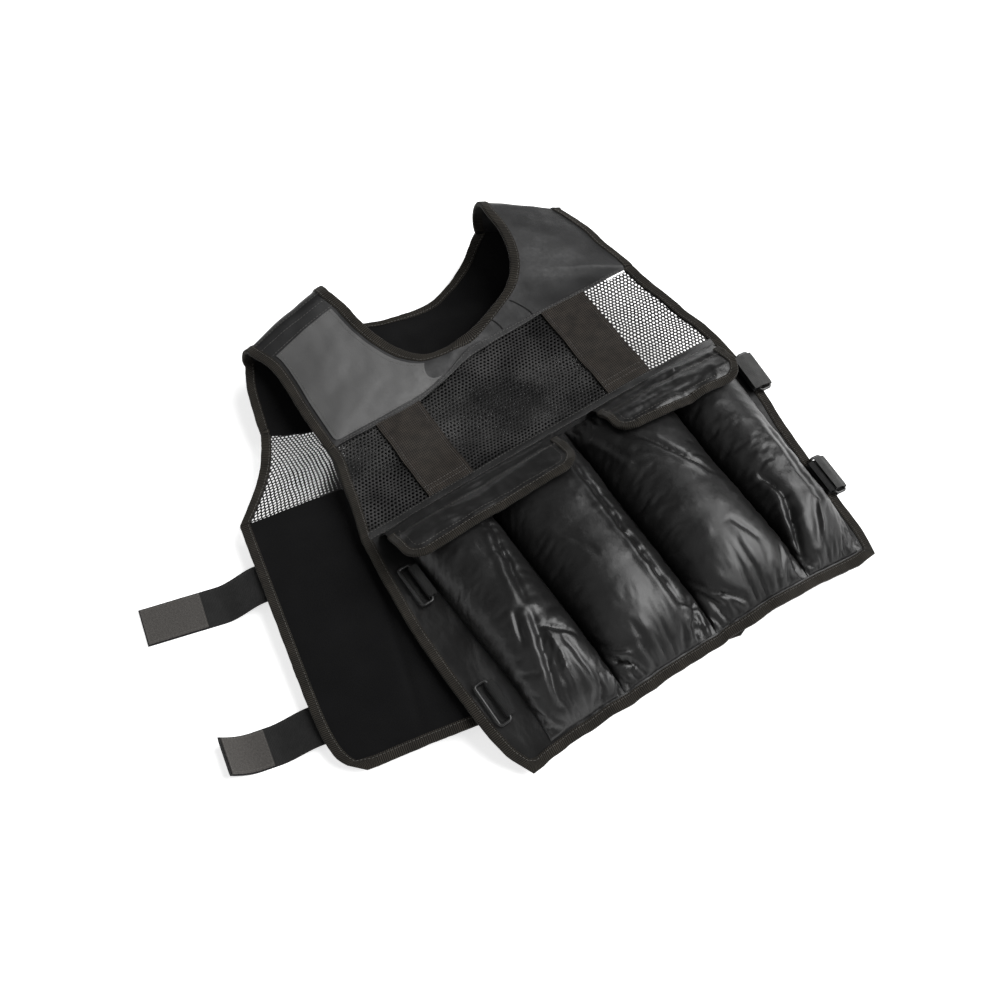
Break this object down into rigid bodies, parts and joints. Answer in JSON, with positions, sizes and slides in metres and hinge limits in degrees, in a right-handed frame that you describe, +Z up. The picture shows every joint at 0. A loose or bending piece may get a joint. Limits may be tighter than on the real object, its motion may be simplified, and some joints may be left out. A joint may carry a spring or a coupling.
{
  "type": "weighted vest",
  "caption": "Weighted training vest lying on its back: padded weight pockets front and back, flaps, open mesh, bound edges, side straps and rings",
  "frame": {"origin": "middle of the bounding box's base, on the surface that the vest lies on", "axes": "+X across the front towards the right side strap rings, +Y from the front hem to the neck, +Z up out of the front"},
  "size_m": [0.652, 0.5298, 0.0952],
  "materials": {
    "nylon": "satin coated nylon",
    "yoke_cloth": "smooth satin",
    "patch_cloth": "smooth satin",
    "mesh_cloth": "matt open mesh",
    "lining": "matt brushed",
    "binding_tape": "matt ribbed",
    "webbing": "matt ribbed",
    "strap_webbing": "matt woven",
    "hook_pad": "matt fuzzy",
    "ring_plastic": "satin"
  },
  "bodies": {
    "root": {"front_panel": "nylon", "pocket_top_strip": "nylon", "pocket_front_1": "nylon", "pocket_front_2": "nylon", "pocket_front_3": "nylon", "pocket_front_4": "nylon", "flap_left": "nylon", "flap_right": "nylon", "pocket_back_1": "nylon", "pocket_back_2": "nylon", "pocket_back_3": "nylon", "pocket_back_4": "nylon", "front_yoke": "yoke_cloth", "yoke_seam_strip": "yoke_cloth", "yoke_patch": "patch_cloth", "front_mesh": "mesh_cloth", "back_mesh": "mesh_cloth", "back_panel": "lining", "back_yoke": "lining", "front_edge_binding": "binding_tape", "back_edge_binding": "binding_tape", "front_neck_binding": "binding_tape", "back_neck_binding": "binding_tape", "front_armhole_binding_left": "binding_tape", "front_armhole_binding_right": "binding_tape", "back_armhole_binding_left": "binding_tape", "back_armhole_binding_right": "binding_tape", "flap_left_binding": "binding_tape", "flap_right_binding": "binding_tape", "chest_webbing_left": "webbing", "chest_webbing_right": "webbing", "loop_left_upper": "webbing", "loop_left_lower": "webbing", "loop_right_upper": "webbing", "loop_right_lower": "webbing", "side_strap_upper": "strap_webbing", "side_strap_lower": "strap_webbing", "ring_strap_upper": "strap_webbing", "ring_strap_lower": "strap_webbing", "side_strap_upper_hook_pad": "hook_pad", "side_strap_lower_hook_pad": "hook_pad", "ring_left_upper": "ring_plastic", "ring_left_lower": "ring_plastic", "ring_right_upper": "ring_plastic", "ring_right_lower": "ring_plastic"}
  },
  "joints": []
}
